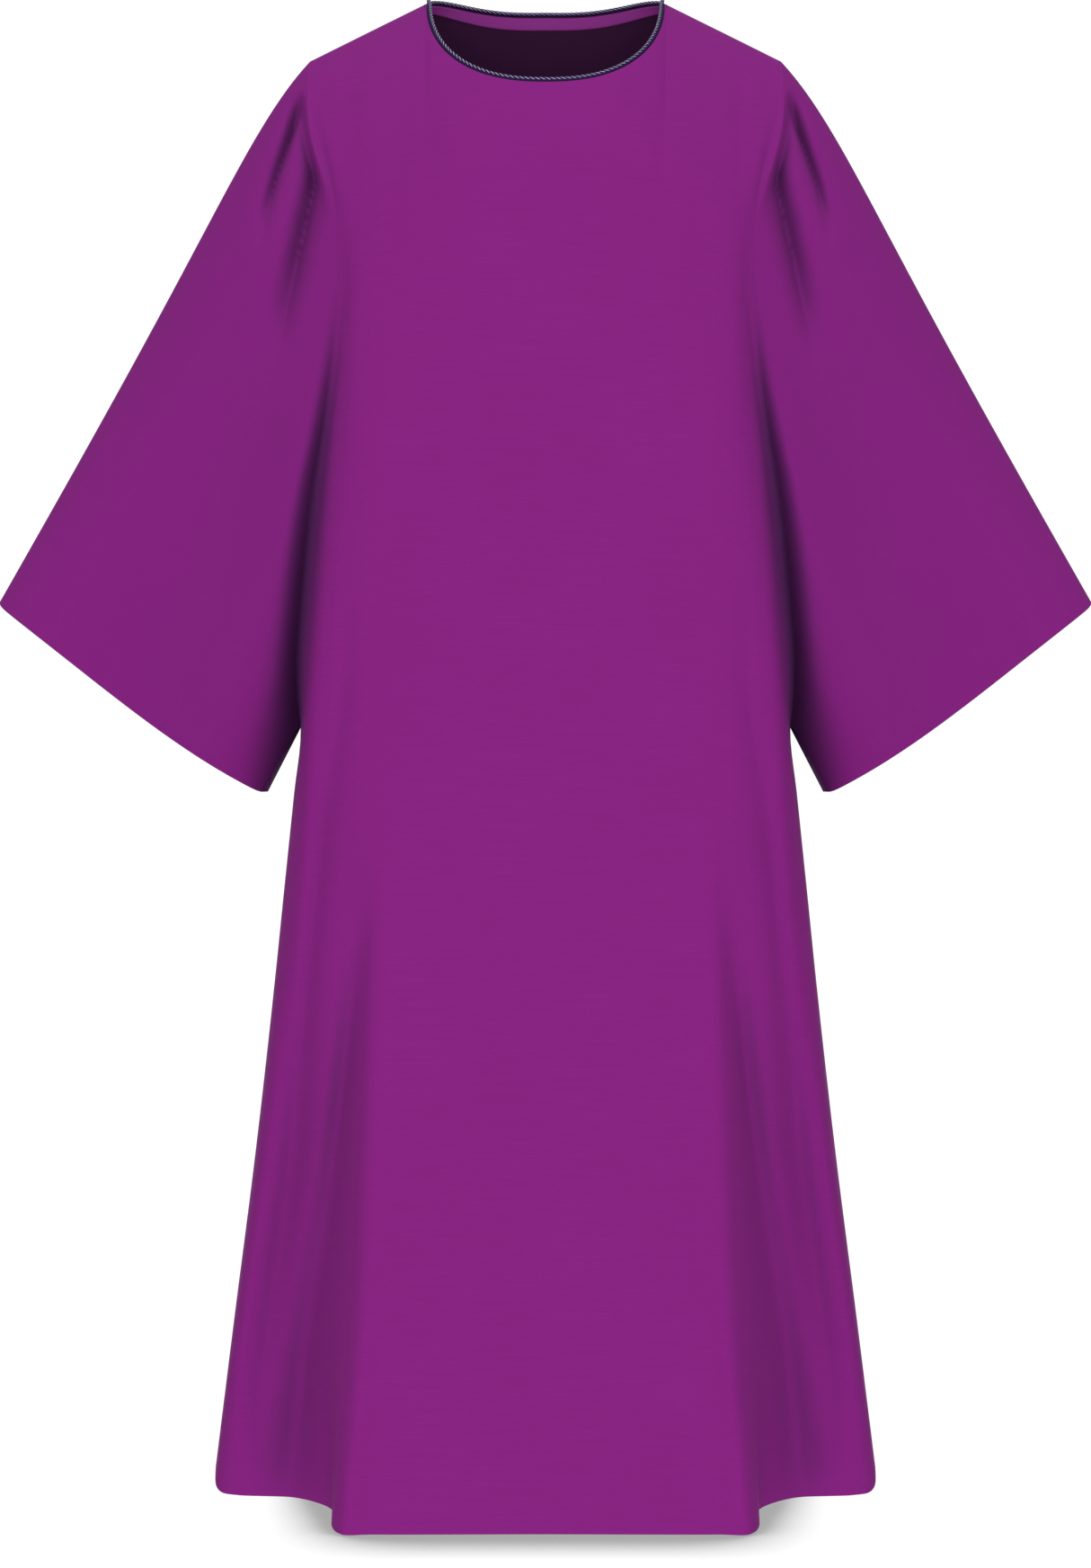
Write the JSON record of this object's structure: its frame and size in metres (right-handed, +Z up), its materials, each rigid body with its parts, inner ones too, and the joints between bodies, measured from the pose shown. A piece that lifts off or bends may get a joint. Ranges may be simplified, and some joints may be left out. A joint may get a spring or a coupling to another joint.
{
  "type": "dalmatic",
  "caption": "Plain ankle-length liturgical tunic with wide straight sleeves, an A-line body and a round neck edged with twisted cord, filled out as worn.",
  "frame": {"origin": "midway between the two neck points, at the height where the shoulders carry the cloth", "axes": "+Z up along the wearer, front of the garment towards -Y, the wearer's left towards +X"},
  "size_m": [0.9918, 0.3627, 1.357],
  "materials": {
    "purple_cloth": "plain matt purple cloth with a faint crosswise slub",
    "facing_cloth": "matt purple cloth",
    "navy_cord": "twisted cord of navy and lilac strands"
  },
  "bodies": {
    "root": {"front": "purple_cloth", "back": "purple_cloth", "sleeve_left": "purple_cloth", "sleeve_right": "purple_cloth", "neck_facing": "facing_cloth", "neck_cord": "navy_cord"}
  },
  "joints": []
}
